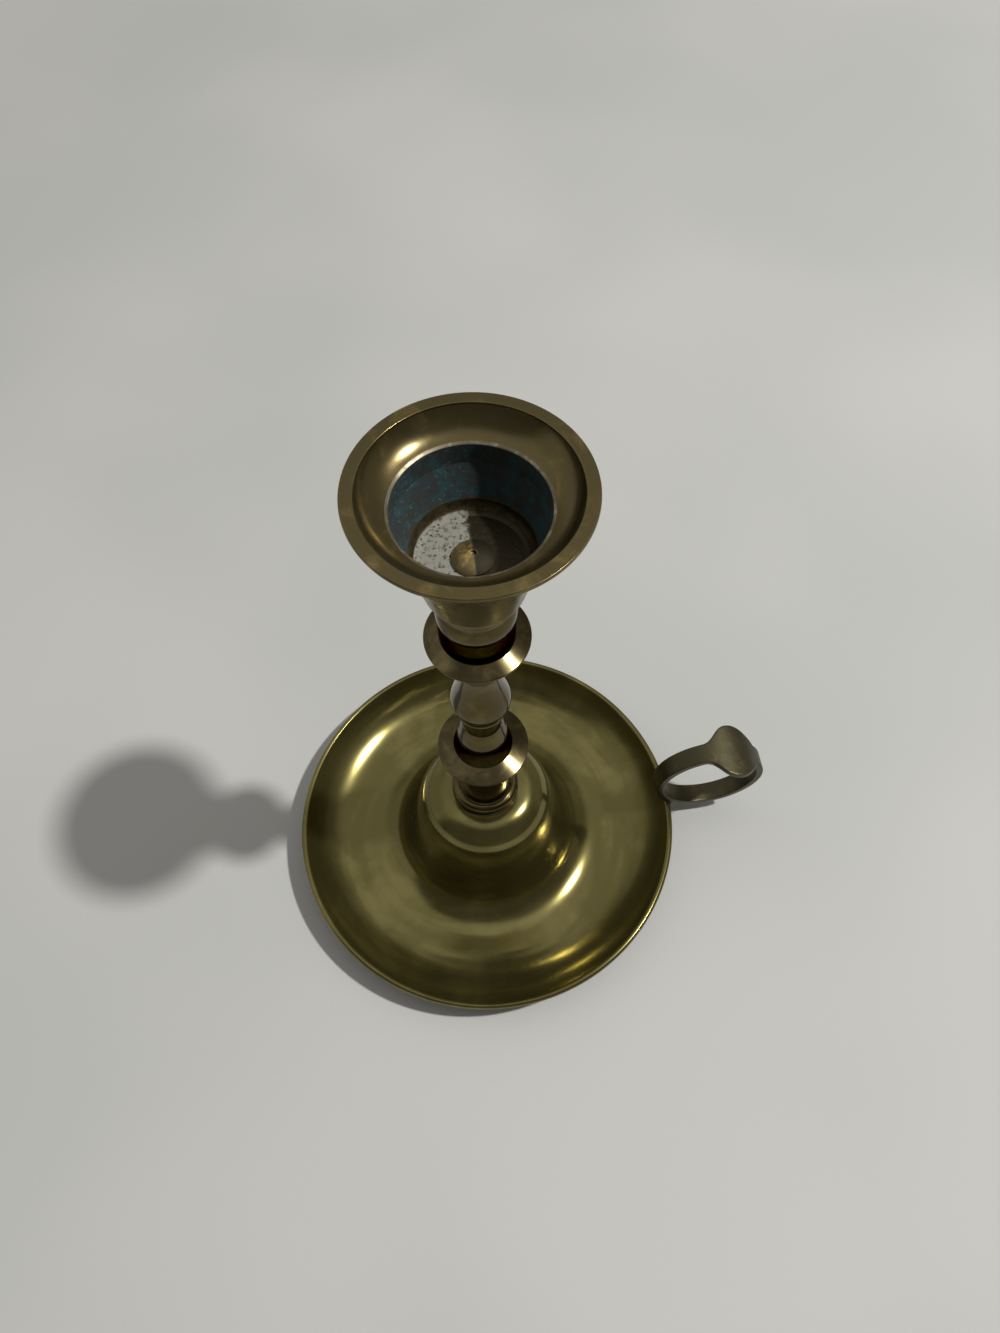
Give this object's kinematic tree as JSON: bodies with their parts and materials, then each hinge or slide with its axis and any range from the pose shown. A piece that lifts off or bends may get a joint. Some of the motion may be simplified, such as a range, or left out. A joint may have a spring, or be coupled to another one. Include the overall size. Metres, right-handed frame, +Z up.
{
  "type": "chamberstick with finger loop",
  "caption": "Small brass chamberstick: flared candle cup on a turned, knopped stem, bolted to a dished drip pan with a strap finger loop that widens to a thumb rest.",
  "frame": {"origin": "centre of the foot ring, on the plane of the table", "axes": "+Z up along the stem to the candle; +X from the stem to the finger loop"},
  "size_m": [0.1072, 0.087, 0.1281],
  "materials": {
    "pan_brass": "polished, worn and slightly tarnished",
    "stem_brass": "turned and polished, dulled by handling",
    "loop_brass": "dull, dark tarnish",
    "braze_metal": "dark, uneven braze",
    "bolt_brass": "turned",
    "fixing_steel": "dull plated steel"
  },
  "bodies": {
    "root": {"drip_pan": "pan_brass", "stem_foot": "stem_brass", "lower_knop": "stem_brass", "baluster": "stem_brass", "upper_knop": "stem_brass", "candle_cup": "stem_brass", "tie_bolt": "bolt_brass", "tie_washer": "fixing_steel", "tie_nut": "fixing_steel", "finger_loop": "loop_brass", "loop_braze": "braze_metal"}
  },
  "joints": []
}
